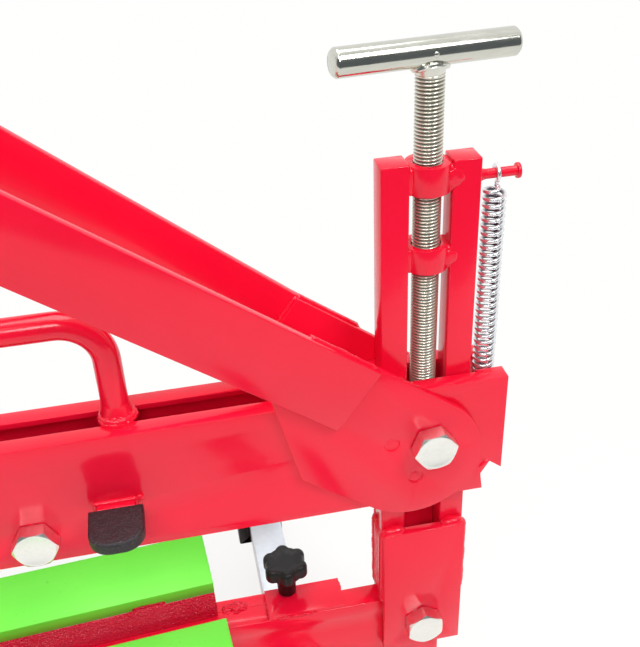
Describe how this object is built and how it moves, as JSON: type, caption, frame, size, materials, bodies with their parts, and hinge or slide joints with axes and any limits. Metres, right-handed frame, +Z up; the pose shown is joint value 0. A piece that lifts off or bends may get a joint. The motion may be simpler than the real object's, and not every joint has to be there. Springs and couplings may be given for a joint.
{
  "type": "masonry block splitter",
  "caption": "Lever-operated masonry block splitter: a bladed upper beam on screw-adjusted posts is forced down onto a fixed lower blade between support plates.",
  "frame": {"origin": "centre of the middle foot's pad on the floor, midway between the two posts", "axes": "+X along the blades towards the lever's pivot, +Y from the front to the back stop, +Z up"},
  "size_m": [0.9453, 0.538, 0.9783],
  "materials": {
    "red_paint": "glossy signal red paint",
    "green_paint": "satin bright green paint",
    "zinc_steel": "bright zinc plating",
    "black_rubber": "grained black rubber",
    "black_plastic": "matte black plastic"
  },
  "bodies": {
    "base": {"lower_beam": "red_paint", "ledge": "red_paint", "plate_legs": "red_paint", "cross_bearers": "red_paint", "end_feet": "red_paint", "mid_foot": "red_paint", "foot_pads": "black_rubber", "right_post": "red_paint", "left_post": "red_paint", "right_foot_plates": "red_paint", "left_foot_plates": "red_paint", "foot_bolts": "zinc_steel", "nut_bushes": "red_paint", "guide_bushes": "red_paint", "spring_pins": "red_paint", "right_spring": "zinc_steel", "left_spring": "zinc_steel", "clamp_plate": "red_paint", "arm_guide": "red_paint", "stop_arm": "zinc_steel", "arm_plug": "black_plastic"},
    "table": {"lower_blade": "red_paint", "front_plate": "green_paint", "rear_plate": "green_paint", "plate_lugs": "red_paint", "table_pin": "zinc_steel"},
    "sliders": {"right_slider": "zinc_steel", "left_slider": "zinc_steel", "right_pivot_bolt": "zinc_steel", "left_pivot_bolt": "zinc_steel"},
    "right_screw": {"right_spindle": "zinc_steel", "right_tbar": "zinc_steel"},
    "left_screw": {"left_spindle": "zinc_steel", "left_tbar": "zinc_steel"},
    "beam": {"upper_beam": "red_paint", "upper_blade": "red_paint", "blade_bolts": "zinc_steel", "blade_spacers": "zinc_steel", "carry_handle": "red_paint", "stop_tab": "red_paint", "stop_pad": "black_rubber", "spring_anchors": "red_paint"},
    "lever": {"front_cam": "red_paint", "rear_cam": "red_paint", "front_bar": "red_paint", "rear_bar": "red_paint", "drive_pins": "zinc_steel", "grip_tube": "red_paint", "grip_sleeve": "black_rubber"},
    "back_stop": {"stop_block": "black_plastic", "fence": "zinc_steel", "fence_cap": "black_plastic"},
    "knob": {"stop_knob": "black_plastic", "knob_stud": "zinc_steel"}
  },
  "joints": [
    {"name": "height", "type": "slide", "parent": "base", "child": "sliders", "axis": [0, 0, 1], "range_m": [-0.048, 0.08], "deforming": ["right_spring", "left_spring"]},
    {"name": "right_turn", "type": "hinge", "parent": "sliders", "child": "right_screw", "pos_m": [0.345, 0, 0.45], "axis": [0, 0, 1], "range_deg": [-6913, 11521]},
    {"name": "left_turn", "type": "hinge", "parent": "sliders", "child": "left_screw", "pos_m": [-0.345, 0, 0.45], "axis": [0, 0, 1], "range_deg": [-6913, 11521]},
    {"name": "lever_swing", "type": "hinge", "parent": "sliders", "child": "lever", "pos_m": [0.345, 0, 0.307], "axis": [0, -1, 0], "range_deg": [0, 37.4], "stiffness_Nm_per_rad": 12, "springref_deg": -177.62, "deforming": ["right_spring", "left_spring"]},
    {"name": "beam_tilt", "type": "hinge", "parent": "sliders", "child": "beam", "pos_m": [-0.345, 0, 0.307], "axis": [0, 1, 0], "range_deg": [-0.01, 1.76], "deforming": ["right_spring", "left_spring"]},
    {"name": "table_turn", "type": "hinge", "parent": "base", "child": "table", "pos_m": [0, 0, 0.12], "axis": [0, 0, 1], "range_deg": [-8, 0]},
    {"name": "stop_slide", "type": "slide", "parent": "base", "child": "back_stop", "axis": [0, 1, 0], "range_m": [-0.07, 0.06]},
    {"name": "knob_turn", "type": "hinge", "parent": "base", "child": "knob", "pos_m": [0.23, 0.016, 0.14], "axis": [0, 0, 1], "continuous": true}
  ],
  "couplings": [
    {"joint": "right_turn", "follows": "height", "rad_per_m": 2513.3},
    {"joint": "left_turn", "follows": "height", "rad_per_m": 2513.3},
    {"joint": "beam_tilt", "follows": "lever_swing", "ratio": 0.04666}
  ]
}
